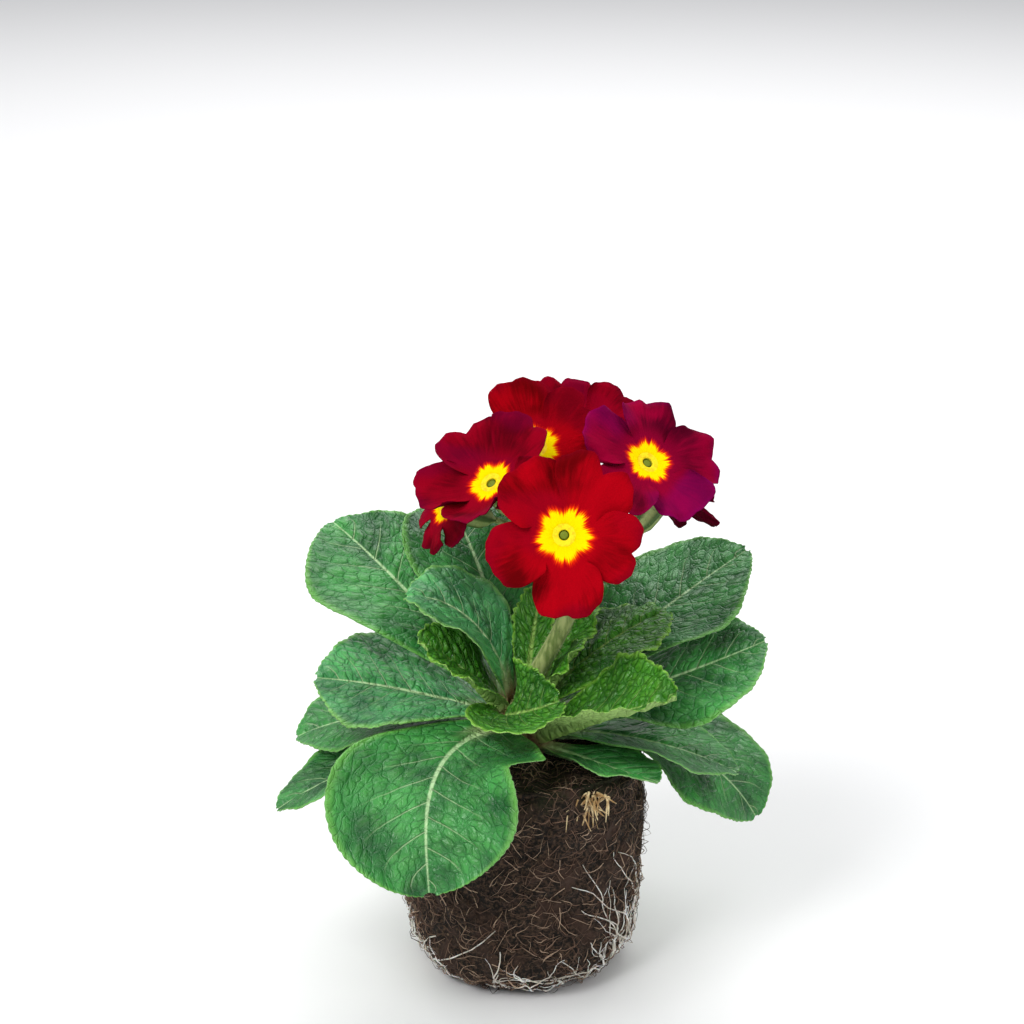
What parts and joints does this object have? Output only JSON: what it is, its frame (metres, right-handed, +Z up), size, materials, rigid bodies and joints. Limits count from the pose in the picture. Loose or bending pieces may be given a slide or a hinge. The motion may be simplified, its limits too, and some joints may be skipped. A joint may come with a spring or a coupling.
{
  "type": "flowering polyanthus plant",
  "caption": "Red polyanthus in flower with yellow eyes, a rosette of crinkled leaves and a bare, pot-shaped ball of rooted compost.",
  "frame": {"origin": "middle of the flat base of the compost ball", "axes": "+Z up along the plant, -Y towards the front that the largest flower faces, +X to that front's right"},
  "size_m": [0.1774, 0.1638, 0.2063],
  "materials": {
    "soil": "matte",
    "root": "matte",
    "crown": "matte",
    "stem": "satin",
    "leaf": "satin",
    "young_leaf": "satin",
    "red_petal": "matte",
    "wine_petal": "matte",
    "eye": "matte"
  },
  "bodies": {
    "root": {"compost_ball": "soil", "root_net": "root", "crown": "crown", "flower_stalk": "stem", "leaf_front_left": "leaf", "leaf_left_low": "leaf", "leaf_left_front": "leaf", "leaf_right_front": "leaf", "leaf_right_low": "leaf", "leaf_right_hanging": "leaf", "leaf_back_right_low": "leaf", "leaf_back_low": "leaf", "leaf_back_left_low": "leaf", "leaf_left_upper": "leaf", "leaf_back_left": "leaf", "leaf_back_centre": "leaf", "leaf_back_right": "leaf", "leaf_right_tall": "leaf", "leaf_right_broad": "leaf", "leaf_right_cupped": "young_leaf", "leaf_right_inner": "young_leaf", "leaf_front_cupped": "young_leaf", "leaf_left_arching": "leaf", "leaf_left_inner": "young_leaf", "leaf_back_inner": "young_leaf", "leaf_right_young": "young_leaf", "leaf_heart": "young_leaf", "petals_front": "red_petal", "eye_front": "eye", "petals_left": "red_petal", "eye_left": "eye", "petals_middle": "red_petal", "eye_middle": "eye", "petals_right": "wine_petal", "eye_right": "eye", "petals_top": "red_petal", "eye_top": "eye", "petals_left_low": "red_petal", "eye_left_low": "eye", "petals_right_back": "red_petal", "eye_right_back": "eye", "petals_back": "wine_petal", "eye_back": "eye"}
  },
  "joints": []
}
